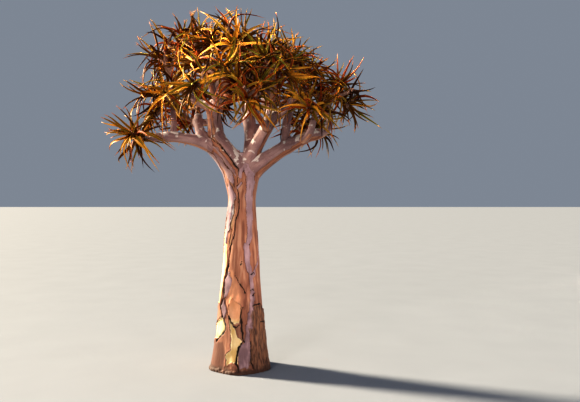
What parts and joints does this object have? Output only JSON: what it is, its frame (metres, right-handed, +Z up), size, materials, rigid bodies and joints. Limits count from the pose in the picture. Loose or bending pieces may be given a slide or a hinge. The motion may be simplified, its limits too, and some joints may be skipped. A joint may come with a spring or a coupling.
{
  "type": "kokerboom tree",
  "caption": "Rooted quiver tree: a stout tapering trunk, forking boughs and a round crown of spiky rosettes of fleshy leaves.",
  "frame": {"origin": "middle of the flat cut under the trunk, at ground level", "axes": "+Z up along the trunk, +X to the right and +Y away from someone who faces the tree's front"},
  "size_m": [2.4848, 2.1449, 3.306],
  "materials": {
    "trunk_bark": "smooth flaking bark with sharp-edged scales",
    "bough_bark": "smooth powdery bark",
    "foliage": "waxy leaf skin, satin"
  },
  "bodies": {
    "root": {"trunk": "trunk_bark", "left_bough": "bough_bark", "left_upright_bough": "bough_bark", "left_level_bough": "bough_bark", "right_bough": "bough_bark", "centre_bough": "bough_bark", "back_bough": "bough_bark", "left_riser": "bough_bark", "left_back_riser": "bough_bark", "left_cross_bough": "bough_bark", "upper_left_bough": "bough_bark", "left_crown_bough": "bough_bark", "top_left_bough": "bough_bark", "front_left_bough": "bough_bark", "front_top_bough": "bough_bark", "centre_right_bough": "bough_bark", "centre_top_bough": "bough_bark", "front_right_top_bough": "bough_bark", "front_centre_bough": "bough_bark", "right_tip_bough": "bough_bark", "front_right_bough": "bough_bark", "right_riser": "bough_bark", "back_right_low_bough": "bough_bark", "back_top_bough": "bough_bark", "back_out_bough": "bough_bark", "back_right_bough": "bough_bark", "low_left_mass": "foliage", "mid_left_mass": "foliage", "back_left_mass": "foliage", "back_cross_mass": "foliage", "upper_left_mass": "foliage", "top_left_mass": "foliage", "front_left_mass": "foliage", "front_top_mass": "foliage", "top_right_mass": "foliage", "upper_right_mass": "foliage", "front_right_top_mass": "foliage", "front_centre_mass": "foliage", "right_mass": "foliage", "front_right_mass": "foliage", "mid_right_mass": "foliage", "low_back_right_mass": "foliage", "back_top_mass": "foliage", "back_mass": "foliage", "back_right_mass": "foliage"}
  },
  "joints": []
}
